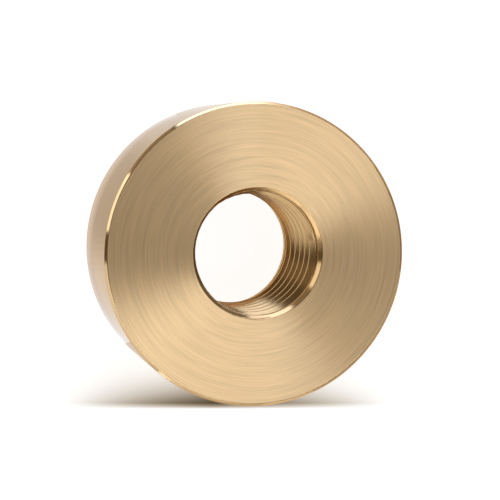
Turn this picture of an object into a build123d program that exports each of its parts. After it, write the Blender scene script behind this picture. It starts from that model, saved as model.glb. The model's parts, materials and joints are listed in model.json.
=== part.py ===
"""Round brass bushing with a through thread, turned and tapped from one piece of bar.

The bushing stands on its flat lower end. Its axis is Z, its origin is the middle of the
lower face, and all sizes are in millimetres.
"""

import os
from math import ceil, radians, tan

from build123d import *
from build123d.topology import SkipClean

# Turned blank
BODY_DIAMETER = 23.0
BODY_LENGTH = 11.2
RIM_CHAMFER = 0.2  # 45 degree break on both outer edges

# Bore and the right-hand thread tapped in it, M10 x 1.5 with a broad root
BORE_DIAMETER = 9.0  # as drilled, over the thread crests
THREAD_PITCH = 1.5
THREAD_DEPTH = 0.5  # from crest to root, measured along a radius
FLANK_ANGLE = 30.0  # degrees that each flank leans from square to the axis
CREST_LAND = 0.3  # flat left between one turn of the groove and the next
TAP_LEAD = 1.65  # the tap's groove starts this far below the lower face, on the +X side

# Relief and countersink at both ends of the bore
COUNTERSINK_ANGLE = 45.0  # degrees from the axis, for the shoulder of the relief too
MOUTH_CLEARANCE = 0.05  # the mouth is this much wider than the thread roots, on each side
RELIEF_CUT = 0.2  # the relief stands this far back from the thread crests, on each side
RELIEF_DEPTH = 1.1  # from the end face to the shoulder of the relief

# How the hole is drawn
BORE_ARCS = 6  # sectors of the hole, so each land of the thread is several short faces
CUT_OVERLAP = 0.2  # the groove starts this far inside the bore wall, so that it cuts clean

body_radius = BODY_DIAMETER / 2
bore_radius = BORE_DIAMETER / 2
root_radius = bore_radius + THREAD_DEPTH
mouth_radius = root_radius + MOUTH_CLEARANCE
relief_radius = bore_radius + RELIEF_CUT
countersink_depth = (mouth_radius - relief_radius) / tan(radians(COUNTERSINK_ANGLE))
shoulder_depth = RELIEF_DEPTH + RELIEF_CUT / tan(radians(COUNTERSINK_ANGLE))
arc_size = 360 / BORE_ARCS

flank_run = tan(radians(FLANK_ANGLE))  # travel along the axis for each millimetre of depth
groove_mouth = THREAD_PITCH - CREST_LAND
root_flat = groove_mouth - 2 * THREAD_DEPTH * flank_run
groove_inner_radius = bore_radius - CUT_OVERLAP
groove_width = groove_mouth + 2 * CUT_OVERLAP * flank_run
turn_count = ceil((BODY_LENGTH + 2 * TAP_LEAD) / THREAD_PITCH)

# One turn of the tap: a groove of trapezoid section carried round a helix
with BuildPart() as tap_turn:
    with BuildLine() as tap_path:
        Helix(pitch=THREAD_PITCH, height=THREAD_PITCH, radius=bore_radius)
    with BuildSketch(Plane.XZ) as groove_section:
        with BuildLine() as groove_outline:
            Polyline(
                (groove_inner_radius, -groove_width / 2),
                (root_radius, -root_flat / 2),
                (root_radius, root_flat / 2),
                (groove_inner_radius, groove_width / 2),
                close=True,
            )
        make_face()
    sweep(path=tap_path.wires()[0], is_frenet=True)

with BuildPart() as round_bushing:
    # Blank: a disc, turned all over, with both rims broken
    with BuildSketch(Plane.XY) as blank_face:
        Circle(body_radius)
    extrude(amount=BODY_LENGTH)
    chamfer(round_bushing.edges().filter_by(GeomType.CIRCLE), length=RIM_CHAMFER)

    # SkipClean keeps the sectors of the hole apart as faces of their own
    with SkipClean():
        # Hole: the drilled bore, its reliefs and countersinks, revolved sector by sector
        sector_planes = [Plane.XZ.rotated((0, 0, arc * arc_size)) for arc in range(BORE_ARCS)]
        with BuildSketch(*sector_planes) as hole_section:
            with BuildLine() as hole_outline:
                Polyline(
                    (0, 0),
                    (mouth_radius, 0),
                    (relief_radius, countersink_depth),
                    (relief_radius, RELIEF_DEPTH),
                    (bore_radius, shoulder_depth),
                    (bore_radius, BODY_LENGTH - shoulder_depth),
                    (relief_radius, BODY_LENGTH - RELIEF_DEPTH),
                    (relief_radius, BODY_LENGTH - countersink_depth),
                    (mouth_radius, BODY_LENGTH),
                    (0, BODY_LENGTH),
                    close=True,
                )
            make_face()
        revolve(axis=Axis.Z, revolution_arc=arc_size, mode=Mode.SUBTRACT)

        # Thread: the tap's turns one above the other, past both ends of the hole
        with Locations([(0, 0, turn * THREAD_PITCH - TAP_LEAD) for turn in range(turn_count)]):
            add(tap_turn.part, mode=Mode.SUBTRACT)

round_bushing.part.label = "round_bushing"

os.makedirs("parts", exist_ok=True)
export_step(round_bushing.part, "parts/round_bushing.step")
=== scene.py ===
"""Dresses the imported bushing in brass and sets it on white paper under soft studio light.

The bushing is one turned part, so it is one fine closed surface that stands for the CAD node.
Sizes are written in millimetres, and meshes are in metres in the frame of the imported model.
"""

import json
import logging
import math
from dataclasses import dataclass, field
from enum import Enum
from typing import Any

import bmesh
import bpy
import numpy as np
from mathutils import Matrix, Vector


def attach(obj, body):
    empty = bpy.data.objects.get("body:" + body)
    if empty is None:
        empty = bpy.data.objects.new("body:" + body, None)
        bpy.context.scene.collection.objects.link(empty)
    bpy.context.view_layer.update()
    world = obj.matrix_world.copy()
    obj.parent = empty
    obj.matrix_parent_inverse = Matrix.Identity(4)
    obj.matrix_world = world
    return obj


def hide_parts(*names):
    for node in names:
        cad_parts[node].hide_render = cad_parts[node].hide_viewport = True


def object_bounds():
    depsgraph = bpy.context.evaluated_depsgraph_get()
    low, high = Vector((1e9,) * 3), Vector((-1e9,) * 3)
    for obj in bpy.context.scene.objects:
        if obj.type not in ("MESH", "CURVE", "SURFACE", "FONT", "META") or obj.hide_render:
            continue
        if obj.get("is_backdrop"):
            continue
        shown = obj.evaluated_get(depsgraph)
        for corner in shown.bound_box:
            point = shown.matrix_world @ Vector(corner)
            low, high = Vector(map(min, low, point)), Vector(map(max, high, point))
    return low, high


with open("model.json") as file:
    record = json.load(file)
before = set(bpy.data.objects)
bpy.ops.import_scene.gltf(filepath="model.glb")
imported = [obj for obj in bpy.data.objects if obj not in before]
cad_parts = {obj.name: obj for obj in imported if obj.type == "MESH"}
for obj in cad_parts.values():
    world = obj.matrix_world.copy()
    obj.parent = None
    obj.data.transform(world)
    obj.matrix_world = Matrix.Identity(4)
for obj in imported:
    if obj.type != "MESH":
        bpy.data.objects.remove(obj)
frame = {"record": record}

MM = 0.001
NODE = "round_bushing"
MERGE_DISTANCE = 1e-7  # metres
HOLE_TINT = "#D8B685"  # brass tinted darker and browner, used for the thread and the mouths of the hole

log = logging.getLogger("bushing")


class Zone(Enum):
    """The parts of the surface, each cut or smoothed with a tool of its own."""

    END = 0
    RIM = 1
    HOLE = 2
    MOUTH = 3


# ---------------------------------------------------------------- node and colour helpers


def linear(hex_colour: str) -> tuple[float, float, float, float]:
    """Turns an sRGB hex colour into the linear numbers that shaders use.

    Args:
        hex_colour: Six hex digits, with or without a leading #.

    Returns:
        Linear red, green and blue, and an alpha of 1.
    """
    digits = hex_colour.lstrip("#")
    srgb = np.array([int(digits[i : i + 2], 16) for i in (0, 2, 4)]) / 255
    low, high = srgb / 12.92, ((srgb + 0.055) / 1.055) ** 2.4
    return (*np.where(srgb <= 0.04045, low, high).tolist(), 1.0)


def add_node(
    tree: bpy.types.NodeTree,
    kind: str,
    settings: dict[str, Any] | None = None,
    **sockets: Any,
) -> bpy.types.Node:
    """Adds a node, sets its properties, and fills or links its inputs.

    Args:
        tree: The node tree.
        kind: The node's type name without its ShaderNode prefix.
        settings: Property names and values.
        sockets: Input values by name, or by position as i0, i1 and so on. An output socket is linked.

    Returns:
        The new node.
    """
    node = tree.nodes.new("ShaderNode" + kind)
    for name, value in (settings or {}).items():
        setattr(node, name, value)
    for name, value in sockets.items():
        key = int(name[1:]) if name[0] == "i" and name[1:].isdigit() else name.replace("_", " ")
        if isinstance(value, bpy.types.NodeSocket):
            tree.links.new(value, node.inputs[key])
        else:
            node.inputs[key].default_value = value
    return node


def combine(tree: bpy.types.NodeTree, operation: str, first: Any, second: Any = 0.0) -> bpy.types.NodeSocket:
    """Adds one operation on one or two numbers."""
    return add_node(tree, "Math", {"operation": operation}, i0=first, i1=second).outputs[0]


def remap(
    tree: bpy.types.NodeTree,
    value: bpy.types.NodeSocket,
    band: tuple[float, float] = (0.0, 1.0),
    results: tuple[float, float] = (0.0, 1.0),
) -> bpy.types.NodeSocket:
    """Adds a node that turns one band of values evenly into another and holds its ends.

    Args:
        tree: The node tree.
        value: The socket to read.
        band: The values at which the result starts and stops changing.
        results: What they become.

    Returns:
        The result's socket.
    """
    limits = {"From_Min": band[0], "From_Max": band[1], "To_Min": results[0], "To_Max": results[1]}
    return add_node(tree, "MapRange", Value=value, **limits).outputs[0]


# ---------------------------------------------------------------- finishes


@dataclass(frozen=True)
class BrassFinish:
    """Yellow brass, a metal that keeps its warm tint, and darkens, where light only grazes it.

    The tint is stronger where light is reflected several times, as inside the thread.
    """

    name: str
    tint: str = "#EBCDA1"
    edge_tint: str = "#C8BAA8"
    roughness: float = 0.2

    def new(self) -> tuple[bpy.types.Material, bpy.types.NodeTree, bpy.types.Node]:
        """Makes the material with its metal shader.

        Returns:
            The material, its node tree and its shader.
        """
        material = bpy.data.materials.new(self.name)
        material.use_nodes = True
        tree = material.node_tree
        shader = tree.nodes["Principled BSDF"]
        shader.inputs["Base Color"].default_value = linear(self.tint)
        shader.inputs["Specular Tint"].default_value = linear(self.edge_tint)
        shader.inputs["Metallic"].default_value = 1.0
        shader.inputs["Roughness"].default_value = self.roughness
        return material, tree, shader


@dataclass(frozen=True)
class FacedBrass(BrassFinish):
    """An end face cut on a lathe with a pointed tool, left as cut.

    The rings spread reflected light along the radius and hardly at all round the ring, so lamps
    show as bright sectors, and fine arcs show where the cut was a little deeper. The tool's own
    rings are a few hundredths of a millimetre apart. They are drawn coarser, since rings as fine
    as that would blur into one tone.

    Each band holds two values of the noise, and its tints are what the brass is scaled by there.
    """

    anisotropy: float = 1.0
    fine_mm: float = 0.1
    fine_turn: float = 2.5
    fine_band: tuple[float, float] = (0.3, 0.7)
    fine_tints: tuple[float, float] = (0.92, 1.06)
    groove_mm: float = 0.22
    groove_turn: float = 1.2
    groove_band: tuple[float, float] = (0.28, 0.42)
    groove_tints: tuple[float, float] = (0.9, 1.0)
    pit_mm: float = 0.14
    pit_band: tuple[float, float] = (0.8, 0.86)
    pit_tints: tuple[float, float] = (1.0, 0.75)
    ring_height_mm: float = 0.002
    ring_relief: float = 0.3

    def rings(
        self,
        tree: bpy.types.NodeTree,
        flat: bpy.types.NodeSocket,
        pitch_mm: float,
        turn: float,
    ) -> bpy.types.NodeSocket:
        """Noise in long arcs, read at (radius / pitch, turn * cos, turn * sin).

        Args:
            tree: The node tree.
            flat: The place on the face, without its height.
            pitch_mm: How far along the radius the noise changes.
            turn: How often it changes in a radian round the ring.

        Returns:
            The noise's value.
        """
        radius = add_node(tree, "VectorMath", {"operation": "LENGTH"}, i0=flat).outputs["Value"]
        radial = add_node(tree, "VectorMath", {"operation": "NORMALIZE"}, i0=flat).outputs[0]
        around = add_node(tree, "SeparateXYZ", i0=radial).outputs
        spot = add_node(
            tree,
            "CombineXYZ",
            i0=combine(tree, "MULTIPLY", radius, 1 / (pitch_mm * MM)),
            i1=combine(tree, "MULTIPLY", around["X"], turn),
            i2=combine(tree, "MULTIPLY", around["Y"], turn),
        )
        return add_node(tree, "TexNoise", Vector=spot.outputs[0], Scale=1.0, Detail=1.0).outputs["Fac"]

    def make(self) -> bpy.types.Material:
        """Builds the finish: radial spread, rings in the normal, and faint rings in the tint.

        Returns:
            The material.
        """
        material, tree, shader = self.new()
        place = add_node(tree, "TexCoord").outputs["Object"]
        level = (1.0, 1.0, 0.0)
        flat = add_node(tree, "VectorMath", {"operation": "MULTIPLY"}, i0=place, i1=level).outputs[0]
        radial = add_node(tree, "VectorMath", {"operation": "NORMALIZE"}, i0=flat).outputs[0]
        tree.links.new(radial, shader.inputs["Tangent"])
        shader.inputs["Anisotropic"].default_value = self.anisotropy

        fine = self.rings(tree, flat, self.fine_mm, self.fine_turn)
        groove = self.rings(tree, flat, self.groove_mm, self.groove_turn)
        relief = {
            "Strength": self.ring_relief,
            "Distance": self.ring_height_mm * MM,
            "Height": combine(tree, "ADD", fine, groove),
        }
        tree.links.new(add_node(tree, "Bump", **relief).outputs["Normal"], shader.inputs["Normal"])

        grain = add_node(tree, "TexNoise", Vector=place, Scale=1 / (self.pit_mm * MM), Detail=0.0)
        rings = remap(tree, fine, self.fine_band, self.fine_tints)
        grooves = remap(tree, groove, self.groove_band, self.groove_tints)
        pits = remap(tree, grain.outputs["Fac"], self.pit_band, self.pit_tints)
        share = combine(tree, "MULTIPLY", rings, combine(tree, "MULTIPLY", pits, grooves))
        brass = linear(self.tint)[:3]
        tint = add_node(tree, "VectorMath", {"operation": "SCALE"}, i0=brass, Scale=share)
        tree.links.new(tint.outputs[0], shader.inputs["Base Color"])
        return material


@dataclass(frozen=True)
class PolishedBrass(BrassFinish):
    """The outer wall and its edge breaks, smoothed with fine cloth, so that they mirror the room."""

    grain_mm: float = 0.05
    streak_mm: float = 25.0
    unevenness: float = 0.3

    def make(self) -> bpy.types.Material:
        """Builds the finish: a clean mirror with faint polishing lines round the wall.

        Returns:
            The material.
        """
        material, tree, shader = self.new()
        place = add_node(tree, "TexCoord").outputs["Object"]
        streak, grain = 1 / (self.streak_mm * MM), 1 / (self.grain_mm * MM)
        scale = (streak, streak, grain)
        spot = add_node(tree, "VectorMath", {"operation": "MULTIPLY"}, i0=place, i1=scale)
        lines = add_node(tree, "TexNoise", Vector=spot.outputs[0], Scale=1.0, Detail=3.0)
        ends = (self.roughness * (1 - self.unevenness), self.roughness * (1 + self.unevenness))
        tree.links.new(remap(tree, lines.outputs["Fac"], results=ends), shader.inputs["Roughness"])
        return material


@dataclass(frozen=True)
class TappedBrass(BrassFinish):
    """The hole: a countersink or a thread, cut wet and torn slightly, which breaks up its shine."""

    tear_mm: float = 0.08
    streak_mm: float = 5 / 3
    tear_height_mm: float = 0.004
    tear_relief: float = 0.3

    def make(self) -> bpy.types.Material:
        """Builds the finish: cutting marks that run round the hole.

        Returns:
            The material.
        """
        material, tree, shader = self.new()
        place = add_node(tree, "TexCoord").outputs["Object"]
        streak, tear = 1 / (self.streak_mm * MM), 1 / (self.tear_mm * MM)
        scale = (streak, streak, tear)
        spot = add_node(tree, "VectorMath", {"operation": "MULTIPLY"}, i0=place, i1=scale)
        marks = add_node(tree, "TexNoise", Vector=spot.outputs[0], Scale=1.0, Detail=3.0)
        relief = {
            "Strength": self.tear_relief,
            "Distance": self.tear_height_mm * MM,
            "Height": marks.outputs["Fac"],
        }
        tree.links.new(add_node(tree, "Bump", **relief).outputs["Normal"], shader.inputs["Normal"])
        return material


@dataclass(frozen=True)
class Glow:
    """A surface that gives off an even light and nothing else."""

    name: str
    colour: str = "#FFFFFF"
    strength: float = 1.0

    def make(self) -> bpy.types.Material:
        """Builds the material from one emission shader.

        Returns:
            The material.
        """
        material = bpy.data.materials.new(self.name)
        material.use_nodes = True
        tree = material.node_tree
        tree.nodes.remove(tree.nodes["Principled BSDF"])
        light = add_node(tree, "Emission", Color=linear(self.colour), Strength=self.strength)
        tree.links.new(light.outputs[0], tree.nodes["Material Output"].inputs["Surface"])
        return material


@dataclass(frozen=True)
class PaperWhite:
    """Matt white paper, lit so evenly from below that it is as bright as a page.

    A soft shadow is painted into the paper's colour and glow along the part's front edge, where the part
    would keep light off the paper. Its three depths are for red, green and blue: brass stands over it, so
    less blue is left in it.
    The shade's middle is this far to the right of the axis, and its front edge this far from the
    wall. The edge leans by a small share of the way to the right.
    """

    wall_radius_mm: float
    name: str = "paper_matt_white"
    colour: str = "#B0B0B0"
    glow: float = 0.9
    roughness: float = 0.9
    shade_depth: tuple[float, float, float] = (2.35, 2.7, 3.2)
    shade_middle_mm: float = -0.85
    shade_front_mm: float = 1.48
    shade_lean: float = 0.02
    shade_left_mm: float = 13.2
    shade_right_mm: float = 16.0
    shade_power: float = 1.4
    shade_edge_mm: float = 0.5
    shade_fade_mm: float = 1.15

    def painted_shadow_share(self, tree: bpy.types.NodeTree) -> bpy.types.NodeSocket:
        """The share of light that the painted shadow leaves, e to the minus depth.

        Along the shade's front edge, the depth falls from the middle to nothing with a power of
        the share of the way that is left. From the edge back towards the part it falls
        exponentially, and in front of the edge it ends softly.

        Args:
            tree: The node tree.

        Returns:
            The share for red, green and blue.
        """
        axes = add_node(tree, "SeparateXYZ", i0=add_node(tree, "TexCoord").outputs["Object"]).outputs
        middle = self.shade_middle_mm * MM
        front = -(self.wall_radius_mm + self.shade_front_mm) * MM
        left = remap(tree, axes["X"], (middle - self.shade_left_mm * MM, middle))
        right = remap(tree, axes["X"], (middle + self.shade_right_mm * MM, middle))
        along = combine(tree, "POWER", combine(tree, "MINIMUM", left, right), self.shade_power)
        line = combine(tree, "ADD", axes["Y"], combine(tree, "MULTIPLY", axes["X"], self.shade_lean))
        behind = combine(tree, "SUBTRACT", front, line)
        fade = combine(tree, "EXPONENT", combine(tree, "MULTIPLY", behind, 1 / (self.shade_fade_mm * MM)))
        start = remap(tree, line, (front - self.shade_edge_mm * MM, front))
        depth = combine(tree, "MULTIPLY", along, combine(tree, "MINIMUM", fade, start))
        red, green, blue = (
            combine(tree, "EXPONENT", combine(tree, "MULTIPLY", depth, -full)) for full in self.shade_depth
        )
        return add_node(tree, "CombineXYZ", i0=red, i1=green, i2=blue).outputs[0]

    def make(self) -> bpy.types.Material:
        """Builds the paper: a rough surface with a glow of its own, less in the painted shadow.

        Returns:
            The material.
        """
        material = bpy.data.materials.new(self.name)
        material.use_nodes = True
        tree = material.node_tree
        shader = tree.nodes["Principled BSDF"]
        # painted shadow: the paper's colour and glow are scaled down along the part's front edge
        share = self.painted_shadow_share(tree)
        white = linear(self.colour)[:3]
        base = add_node(tree, "VectorMath", {"operation": "MULTIPLY"}, i0=share, i1=white)
        tree.links.new(base.outputs[0], shader.inputs["Base Color"])
        tree.links.new(share, shader.inputs["Emission Color"])
        shader.inputs["Emission Strength"].default_value = self.glow
        shader.inputs["Roughness"].default_value = self.roughness
        shader.inputs["Specular IOR Level"].default_value = 0.0
        return material


# ---------------------------------------------------------------- the bushing


@dataclass
class Bushing:
    """The turned part: a thick disc with broken rims, two countersinks and a right-hand thread.

    Every field is in millimetres unless its name or comment says otherwise.
    """

    radius: float
    length: float
    bore_radius: float
    rim_chamfer: float = 0.2
    pitch: float = 1.5
    thread_depth: float = 0.5
    crest_land: float = 0.24
    flank_deg: float = 30.0
    tap_lead: float = 1.65  # the groove starts this far below the lower face, on the +X side
    entry_loss: float = 0.16  # the groove is this much shallower at the faces
    mouth_clearance: float = -0.01  # from the thread's roots out to the mouth's edge
    relief_cut: float = 0.2
    relief_depth: float = 1.22
    runout: float = 0.17
    runout_deg: float = 35.0
    edge_reach: float = 0.03  # how far the rounding of an edge runs on either side
    edge_rows: int = 5  # a count
    crest_round: float = 0.008
    flank_rows: int = 3  # a count
    columns: int = 360  # a count
    stretch_shares: tuple[float, ...] = (0.0, 0.01, 0.2, 0.4, 0.6, 0.8, 0.99)  # rows between two edges
    upper_step: float = 0.025
    lower_step: float = 0.05
    mouth_depth: float = 1.5

    @property
    def angle(self) -> np.ndarray:
        """The angle of each column of the surface, counted from +X towards +Y."""
        return np.arange(self.columns) * (2 * math.pi / self.columns)

    @property
    def flank_slope(self) -> float:
        """How far a flank runs along the axis for each millimetre of depth."""
        return math.tan(math.radians(self.flank_deg))

    def soft_clip(self, back: np.ndarray) -> np.ndarray:
        """Limits a set-back to between 0 and the thread's depth, with rounded corners.

        Each limit is the rounding times the logarithm of one plus e to the overshoot, counted
        in roundings.

        Args:
            back: How far the wall would stand back from the crest.

        Returns:
            The set-back within its limits.
        """
        soft = self.crest_round
        low = soft * np.logaddexp(0, back / soft)
        return self.thread_depth - soft * np.logaddexp(0, (self.thread_depth - low) / soft)

    def thread_radius(self, height: np.ndarray) -> np.ndarray:
        """The radius of the tapped hole.

        A right-hand helix climbs one pitch a turn. The distance along the axis from the middle
        of the nearest groove, taken off half the groove's width, and divided by the tangent of
        the flank's lean, is how far the wall stands back from the crest. It stops at the root.

        Args:
            height: Heights above the lower face, with one column for each angle.

        Returns:
            The radius at each height and angle.
        """
        half_width = (self.pitch - self.crest_land) / 2
        climb = height + self.tap_lead - self.pitch * self.angle / (2 * math.pi)
        off_groove = np.abs((climb + self.pitch / 2) % self.pitch - self.pitch / 2)
        return self.bore_radius + self.soft_clip((half_width - off_groove) / self.flank_slope)

    def mouth_radius(self, depth: np.ndarray, runout: float) -> np.ndarray:
        """The radius of the countersink and the relief at a depth below the face.

        The 90 degree countersink shrinks by the depth. The relief is straight as far as its
        depth, and its shoulder then leans as the thread's flanks do. The wider of the two holds.
        A cutter held off the axis shifts both by the runout times the cosine of the angle from
        the shift.

        Args:
            depth: Depths below the face, with one column for each angle.
            runout: How far the cutter stood off the axis.

        Returns:
            The radius at each depth and angle.
        """
        countersink = self.bore_radius + self.thread_depth + self.mouth_clearance - depth
        shoulder = np.maximum(depth - self.relief_depth, 0) / self.flank_slope
        relief = self.bore_radius + self.relief_cut - shoulder
        shift = runout * np.cos(self.angle - math.radians(self.runout_deg))
        return np.maximum(countersink, relief) + shift

    def hole_radius(self, height: np.ndarray) -> np.ndarray:
        """The hole's radius: the widest of the thread and the two mouths.

        Within a pitch of either face the groove is shallower, by a loss that falls evenly from
        the face, so that the groove doesn't break the mouth's edge. Only the upper mouth is
        off the axis.

        Args:
            height: Heights above the lower face, with one column for each angle.

        Returns:
            The radius at each height and angle.
        """
        upper = self.mouth_radius(self.length - height, self.runout)
        lower = self.mouth_radius(height, 0.0)
        into = np.minimum(height, self.length - height) / self.pitch
        deepest = self.bore_radius + self.thread_depth - self.entry_loss * np.maximum(1 - into, 0)
        thread = np.minimum(self.thread_radius(height), deepest)
        return np.maximum(thread, np.maximum(upper, lower))

    def hole_zone(self, depth: float) -> int:
        """The number of the zone at a depth below a face: the countersink's, and then the thread's."""
        countersunk = self.thread_depth + self.mouth_clearance - self.relief_cut
        return (Zone.MOUTH if depth < countersunk else Zone.HOLE).value

    def level(self, radius: np.ndarray | float, height: float) -> np.ndarray:
        """One row of (radius, height) at a height, with the radius given once or for each column."""
        return np.stack([radius * np.ones(self.columns), np.full(self.columns, height)])

    def level_rows(self, heights: np.ndarray) -> np.ndarray:
        """Rows of (radius, height) on the hole's wall at the heights given."""
        heights = heights[:, None] * np.ones(self.columns)
        return np.stack([self.hole_radius(heights), heights], axis=1)

    def corner(self, before: np.ndarray, tip: np.ndarray, after: np.ndarray) -> np.ndarray:
        """Rounds a corner of the section with a parabola that touches both of its sides.

        With t from 0 to 1, its points are (1-t)^2 start + 2t(1-t) tip + t^2 end.

        Args:
            before: A point (radius, height) for each column on the side that leads in.
            tip: The sharp corner.
            after: A point on the side that leads out.

        Returns:
            Rows from the lead-in to the lead-out, each edge_reach from the tip or nearer.
        """
        start = tip + (before - tip) * self.edge_reach / np.linalg.norm(before - tip, axis=0)
        end = tip + (after - tip) * self.edge_reach / np.linalg.norm(after - tip, axis=0)
        t = np.linspace(0, 1, self.edge_rows)[:, None, None]
        return (1 - t) ** 2 * start + 2 * t * (1 - t) * tip + t**2 * end

    def outline(self) -> tuple[list[np.ndarray], list[Zone]]:
        """The section's sharp corners from the upper mouth's edge to the lower one's.

        Returns:
            The corners, with a point inside each mouth before and after them, and the zones of
            the stretches between the corners.
        """
        top, side, cut = self.length, self.radius, self.rim_chamfer
        upper_mouth = self.hole_radius(np.full(self.columns, top))
        lower_mouth = self.hole_radius(np.zeros(self.columns))
        path = [
            self.level(upper_mouth - self.edge_reach, top - self.edge_reach),
            self.level(upper_mouth, top),
            self.level(side - cut, top),
            self.level(side, top - cut),
            self.level(side, cut),
            self.level(side - cut, 0),
            self.level(lower_mouth, 0),
            self.level(lower_mouth - self.edge_reach, self.edge_reach),
        ]
        return path, [Zone.END, Zone.RIM, Zone.RIM, Zone.RIM, Zone.END]

    def section(self) -> tuple[np.ndarray, np.ndarray]:
        """The section from the upper mouth's depth, out over the faces, to the lower mouth's depth.

        Returns:
            Rows of (radius, height) for each column, and the zone of the strip after each row.
        """
        path, stretches = self.outline()
        corners = [self.corner(*path[i : i + 3]) for i in range(len(path) - 2)]
        shares = np.array(self.stretch_shares)[:, None, None]
        lower, upper = self.mouth_heights()
        rows = [self.level_rows(upper)]
        zones = [self.hole_zone(self.length - height) for height in upper]
        edges = [Zone.MOUTH] + [Zone.RIM] * (len(corners) - 2)
        for edge, stretch, here, following in zip(edges, stretches, corners, corners[1:]):
            rows += [here[:-1], here[-1] + shares * (following[0] - here[-1])]
            zones += [edge.value] * (len(here) - 1) + [stretch.value] * len(shares)
        rows += [corners[-1], self.level_rows(lower)]
        zones += [Zone.MOUTH.value] * len(corners[-1])
        zones += [self.hole_zone(height) for height in lower]
        return np.concatenate(rows), np.array(zones)

    def mouth_heights(self) -> tuple[np.ndarray, np.ndarray]:
        """Heights of the level rows in the two mouths, below the rounding of their edges.

        Returns:
            The lower mouth's heights and the upper mouth's, both upwards.
        """
        drop = self.edge_reach * math.cos(math.pi / 4)
        lower = np.arange(self.mouth_depth, drop, -self.lower_step)[::-1]
        upper = self.length - np.arange(self.mouth_depth, drop, -self.upper_step)
        return lower, upper

    def turn_heights(self) -> np.ndarray:
        """Heights of the rows that follow one turn of the thread, counted from a groove's middle.

        Each corner of the thread's section has a row on it and one on either side, two roundings
        away, and each flank has rows between its corners.

        Returns:
            Heights from 0 up to, and without, the next groove's middle.
        """
        crest = (self.pitch - self.crest_land) / 2
        root = crest - self.thread_depth * self.flank_slope
        near = 2 * self.crest_round
        corners = [root - near, root, root + near, crest - near, crest, crest + near]
        flank = np.linspace(root + near, crest - near, self.flank_rows + 2)[1:-1]
        half = np.sort(np.concatenate([corners, flank]))
        return np.concatenate([[0.0], half, [self.pitch / 2], self.pitch - half[::-1]])

    def thread_mesh(self, low: float, high: float) -> tuple[np.ndarray, np.ndarray]:
        """The threaded wall between two level rings, as a grid wound up like the thread.

        Row k climbs one pitch in a turn, so its end meets the start of the row one whole turn
        of rows later. Heights past either ring are moved onto it, where the points then merge.

        Args:
            low: Height of the lower ring.
            high: Height of the upper ring.

        Returns:
            Points in millimetres and quads of point numbers.
        """
        turn = self.turn_heights()
        first = math.floor((low + self.tap_lead) / self.pitch) - 1
        last = math.ceil((high + self.tap_lead) / self.pitch) + 1
        starts = np.arange(first, last) * self.pitch - self.tap_lead
        rows = (starts[:, None] + turn).ravel()
        height = np.clip(rows[:, None] + self.pitch * self.angle / (2 * math.pi), low, high)
        radius = self.hole_radius(height)
        index = np.arange(height.size).reshape(height.shape)
        beside = np.concatenate([index[: -len(turn), 1:], index[len(turn) :, :1]], axis=1)
        here = index[: -len(turn)]
        quads = np.stack([here[:-1], here[1:], beside[1:], beside[:-1]], axis=-1).reshape(-1, 4)
        return self.turned(radius, height), quads[:, ::-1]

    def turned(self, radius: np.ndarray, height: np.ndarray) -> np.ndarray:
        """Points at (radius cos, radius sin, height), with one column for each angle."""
        points = [radius * np.cos(self.angle), radius * np.sin(self.angle), height]
        return np.stack(points, axis=-1).reshape(-1, 3)

    def mesh(self) -> bpy.types.Mesh:
        """Turns the section round the axis and joins the threaded wall to it.

        Both bands close round the axis. They meet in two rings of equal points, which are
        merged, so the surface has no seam and no pole.

        Returns:
            The closed mesh, with each face's material index set to its zone's number.
        """
        rows, zones = self.section()
        points = self.turned(rows[:, 0], rows[:, 1])
        index = np.arange(len(points)).reshape(len(rows), self.columns)
        beside = np.roll(index, -1, axis=1)
        quads = np.stack([index[:-1], index[1:], beside[1:], beside[:-1]], axis=-1).reshape(-1, 4)
        thread_points, thread_quads = self.thread_mesh(rows[-1, 1, 0], rows[0, 1, 0])
        mesh = bpy.data.meshes.new("turned_body")
        faces = np.concatenate([quads, thread_quads + len(points)])
        mesh.from_pydata(np.concatenate([points, thread_points]) * MM, [], faces)
        slots = np.full(len(faces), Zone.HOLE.value, np.int32)
        slots[: len(quads)] = np.repeat(zones[:-1], self.columns)
        mesh.polygons.foreach_set("material_index", slots)
        mesh.polygons.foreach_set("use_smooth", np.ones(len(faces), bool))
        work = bmesh.new()
        work.from_mesh(mesh)
        bmesh.ops.remove_doubles(work, verts=work.verts, dist=MERGE_DISTANCE)
        bmesh.ops.recalc_face_normals(work, faces=work.faces)
        work.to_mesh(mesh)
        work.free()
        mesh.update()
        return mesh

    def build(self) -> bpy.types.Object:
        """Makes the dressed piece and lets it stand for the CAD node.

        Returns:
            The piece.
        """
        body = bpy.data.objects.new("turned_body", self.mesh())
        bpy.context.scene.collection.objects.link(body)
        finishes = {
            Zone.END: FacedBrass("brass_faced_end", roughness=0.29),
            Zone.RIM: PolishedBrass("brass_polished_rim", roughness=0.1),
            Zone.HOLE: TappedBrass("brass_tapped_thread", tint=HOLE_TINT, roughness=0.2),
            Zone.MOUTH: TappedBrass("brass_countersunk_mouth", tint=HOLE_TINT, roughness=0.16),
        }
        for zone in Zone:
            body.data.materials.append(finishes[zone].make())
        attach(body, "root")
        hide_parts(NODE)
        return body


# ---------------------------------------------------------------- the studio


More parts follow.
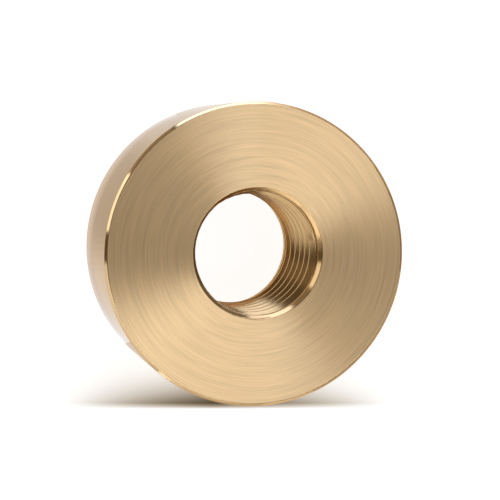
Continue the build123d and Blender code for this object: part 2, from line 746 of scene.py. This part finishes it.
@dataclass(frozen=True)
class SoftBox:
    """A flat lamp that faces the part from a direction, as wide and tall as the part sees it."""

    name: str
    azimuth_deg: float
    elevation_deg: float
    width_deg: float
    height_deg: float
    radiance: float
    colour: str = "#FFFFFF"
    roll_deg: float = 0.0
    distance_mm: float = 400.0

    def build(self) -> bpy.types.Object:
        """Makes the lamp. Its power is its brightness times pi times its area.

        Returns:
            The lamp.
        """
        distance = self.distance_mm * MM
        lamp = bpy.data.lights.new(self.name, "AREA")
        lamp.shape = "RECTANGLE"
        lamp.size = 2 * distance * math.tan(math.radians(self.width_deg / 2))
        lamp.size_y = 2 * distance * math.tan(math.radians(self.height_deg / 2))
        lamp.color = linear(self.colour)[:3]
        lamp.energy = self.radiance * math.pi * lamp.size * lamp.size_y
        lamp_object = bpy.data.objects.new(self.name, lamp)
        bpy.context.scene.collection.objects.link(lamp_object)
        turn, rise = math.radians(self.azimuth_deg), math.radians(self.elevation_deg)
        away = Vector((math.cos(turn) * math.cos(rise), math.sin(turn) * math.cos(rise), math.sin(rise)))
        lamp_object.location = away * distance
        roll = Matrix.Rotation(math.radians(self.roll_deg), 3, away)
        lamp_object.rotation_euler = (roll @ away.to_track_quat("Z", "Y").to_matrix()).to_euler()
        lamp_object.visible_camera = False
        return lamp_object


@dataclass(frozen=True)
class FloorCard:
    """A card laid flat round the part, out of the camera's sight, that only shines in the metal.

    It starts a gap away from the wall's foot and ends where its reach does, both counted from
    the wall.
    """

    name: str
    gap_mm: float
    reach_mm: float
    start_deg: float
    end_deg: float
    radiance: float
    colour: str = "#FFFFFF"
    lift_mm: float = 0.02
    segments: int = 48

    def build(self, wall_radius: float, lowest: float) -> bpy.types.Object:
        """Makes the card as a sector of a ring just above the paper.

        Args:
            wall_radius: Radius of the part's wall, in millimetres.
            lowest: Height of the paper, in metres.

        Returns:
            The card.
        """
        angle = np.radians(np.linspace(self.start_deg, self.end_deg, self.segments + 1))
        radius = (wall_radius + np.array([[self.gap_mm], [self.reach_mm]])) * MM
        height = np.full((2, len(angle)), lowest + self.lift_mm * MM)
        points = np.stack([radius * np.cos(angle), radius * np.sin(angle), height], axis=-1).reshape(-1, 3)
        near = np.arange(self.segments)
        far = near + self.segments + 1
        mesh = bpy.data.meshes.new(self.name)
        mesh.from_pydata(points, [], np.stack([near, far, far + 1, near + 1], axis=-1))
        mesh.materials.append(Glow(self.name + "_glow", self.colour, self.radiance).make())
        card = bpy.data.objects.new(self.name, mesh)
        bpy.context.scene.collection.objects.link(card)
        card.visible_camera = card.visible_diffuse = card.visible_shadow = False
        card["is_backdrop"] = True
        return card


@dataclass
class Studio:
    """White paper, a dim warm room, soft boxes round and above the part, and cards on the paper.

    The boxes over the part light its upper face in sectors, and the low ones light the edge
    breaks and the hole. The wall mirrors the paper at its foot, so the cards there shade it.
    The paper's height, lowest, is in metres.
    """

    lowest: float
    wall_radius: float
    paper_half_mm: float = 1500.0
    room: str = "#FFE1B4"
    room_strength: float = 0.11
    sweep_gap_mm: float = 0.45
    sweep_reach_mm: float = 3.5
    sweep_step_deg: float = 3.0
    sweep_colour: str = "#FFFDFB"
    sweep_levels: tuple[tuple[float, float], ...] = (
        (128.0, 1.07),
        (142.0, 0.91),
        (160.0, 0.9),
        (169.0, 0.87),
        (176.0, 0.92),
        (184.0, 1.1),
        (193.0, 1.27),
        (224.0, 1.3),
    )
    boxes: list[SoftBox] = field(
        default_factory=lambda: [
            SoftBox("top_right", 30.78, 63.32, 33.8, 58.8, 0.65, roll_deg=61.3),
            SoftBox("top_front", -61.6, 76.0, 24.2, 8.6, 3.0, roll_deg=-26.0),
            SoftBox("rear", 70.0, 9.0, 88.0, 26.0, 2.4, "#DCE6FF"),
            SoftBox("rear_left", 134.0, 12.0, 34.0, 14.0, 0.2, "#FFF0DC"),
            SoftBox("rear_tall", 92.5, 34.0, 30.5, 27.0, 1.9, "#D8E6FF"),
            SoftBox("strip_left", 159.0, 14.0, 28.0, 14.0, 1.3),
            SoftBox("left_high", 165.0, 46.0, 20.0, 22.0, 0.12, "#FFE8CC"),
            SoftBox("front_left", 238.0, 30.0, 72.0, 38.0, 0.8),
            SoftBox("front_left_low", 215.0, 9.0, 54.0, 14.0, 0.76),
            SoftBox("front", 274.0, 8.0, 64.0, 15.0, 1.2),
        ]
    )
    cards: list[FloorCard] = field(
        default_factory=lambda: [
            FloorCard("foot_glow", 0.0, 0.25, 112.0, 224.0, 1.45, "#F0F4FF"),
            FloorCard("foot_fade", 0.25, 0.45, 128.0, 224.0, 1.2, "#F6F8FF"),
            FloorCard("rear_floor", 153.5, 488.5, 54.0, 80.0, 0.95, "#FFF6EC", lift_mm=0.04),
            FloorCard("front_right_floor", 23.5, 78.5, 284.0, 302.0, 0.85, "#FFF0DC", lift_mm=0.04),
            FloorCard("front_floor", 0.0, 8.5, 224.0, 236.0, 0.95, "#FFF4E6"),
            FloorCard("front_floor_far", 0.45, 8.5, 236.0, 258.0, 0.7, "#FFF0DC"),
            FloorCard("far_floor", 18.5, 488.5, 18.0, 250.0, 0.48, "#FFE6C4"),
            FloorCard("far_front_floor", 18.5, 488.5, 250.0, 352.0, 0.62, "#FFF0DC"),
            FloorCard("far_right_floor", 18.5, 488.5, -8.0, 18.0, 0.34, "#FFE6C4"),
        ]
    )

    def sweep(self) -> list[FloorCard]:
        """Cards side by side round the left of the part, so light changes evenly along its wall.

        Returns:
            One card for each step, with its radiance read between the levels.
        """
        azimuths, levels = zip(*self.sweep_levels)
        edges = np.arange(azimuths[0], azimuths[-1] + self.sweep_step_deg, self.sweep_step_deg)
        radiances = np.interp((edges[:-1] + edges[1:]) / 2, azimuths, levels)
        return [
            FloorCard(
                f"left_floor_{start:.0f}",
                self.sweep_gap_mm,
                self.sweep_reach_mm,
                start,
                end,
                radiance,
                self.sweep_colour,
            )
            for start, end, radiance in zip(edges.tolist(), edges[1:].tolist(), radiances.tolist())
        ]

    def lay_paper(self) -> bpy.types.Object:
        """Lays the sheet of paper under the part.

        Returns:
            The paper.
        """
        half = self.paper_half_mm * MM
        mesh = bpy.data.meshes.new("paper")
        corners = [(-half, -half), (half, -half), (half, half), (-half, half)]
        mesh.from_pydata([(x, y, self.lowest) for x, y in corners], [], [(0, 1, 2, 3)])
        mesh.materials.append(PaperWhite(self.wall_radius).make())
        paper = bpy.data.objects.new("paper", mesh)
        bpy.context.scene.collection.objects.link(paper)
        paper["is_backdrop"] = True
        return paper

    def build(self) -> None:
        """Makes the paper, the room's light, the lamps and the cards."""
        self.lay_paper()
        world = bpy.data.worlds.new("room")
        world.use_nodes = True
        background = world.node_tree.nodes["Background"]
        background.inputs["Color"].default_value = linear(self.room)
        background.inputs["Strength"].default_value = self.room_strength
        bpy.context.scene.world = world
        for box in self.boxes:
            box.build()
        for card in self.cards + self.sweep():
            card.build(self.wall_radius, self.lowest)


@dataclass(frozen=True)
class Viewpoint:
    """A long lens nearly straight above the part, turned a little to the left and the rear."""

    lens_mm: float = 120.0
    distance_mm: float = 125.3
    turn_deg: float = 12.55
    rise_deg: float = 3.82
    right_mm: float = -0.5
    up_mm: float = 0.36
    nearest_mm: float = 10.0

    def build(self, target: Vector) -> bpy.types.Object:
        """Places the camera over the middle of the upper face.

        Args:
            target: The middle of the upper face, in metres.

        Returns:
            The camera.
        """
        rise = Matrix.Rotation(-math.radians(self.rise_deg), 3, "X")
        turn = rise @ Matrix.Rotation(-math.radians(self.turn_deg), 3, "Y")
        place = target + turn @ Vector((self.right_mm, self.up_mm, self.distance_mm)) * MM
        lens = bpy.data.cameras.new("camera")
        lens.lens = self.lens_mm
        lens.clip_start = self.nearest_mm * MM
        camera = bpy.data.objects.new("camera", lens)
        bpy.context.scene.collection.objects.link(camera)
        camera.matrix_world = Matrix.Translation(place) @ turn.to_4x4()
        bpy.context.scene.camera = camera
        return camera


def mount(name: str) -> dict[str, Any]:
    """The record's mount of that name."""
    return next(m for m in frame["record"]["mounts"] if m["name"] == name)


def main() -> None:
    """Builds the part, the studio and the camera."""
    logging.basicConfig(level=logging.INFO, format="%(message)s")
    cad_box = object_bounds()
    low, high = (np.array(corner) for corner in cad_box)
    wall_radius = mount("outside")["dims"]["r_mm"]
    bushing = Bushing(
        radius=wall_radius,
        length=(high - low)[2] / MM,
        bore_radius=mount("thread")["dims"]["r_mm"],
    )
    body = bushing.build()
    log.info("%s: %d faces", body.name, len(body.data.polygons))
    Studio(lowest=float(low[2]), wall_radius=wall_radius).build()
    log.info("studio: paper, room, soft boxes and cards")
    middle = (low + high) / 2
    camera = Viewpoint().build(Vector((middle[0], middle[1], high[2])))
    log.info("%s: %g mm lens", camera.name, camera.data.lens)
    bpy.context.scene.view_settings.view_transform = "Standard"


if __name__ == "__main__":
    main()
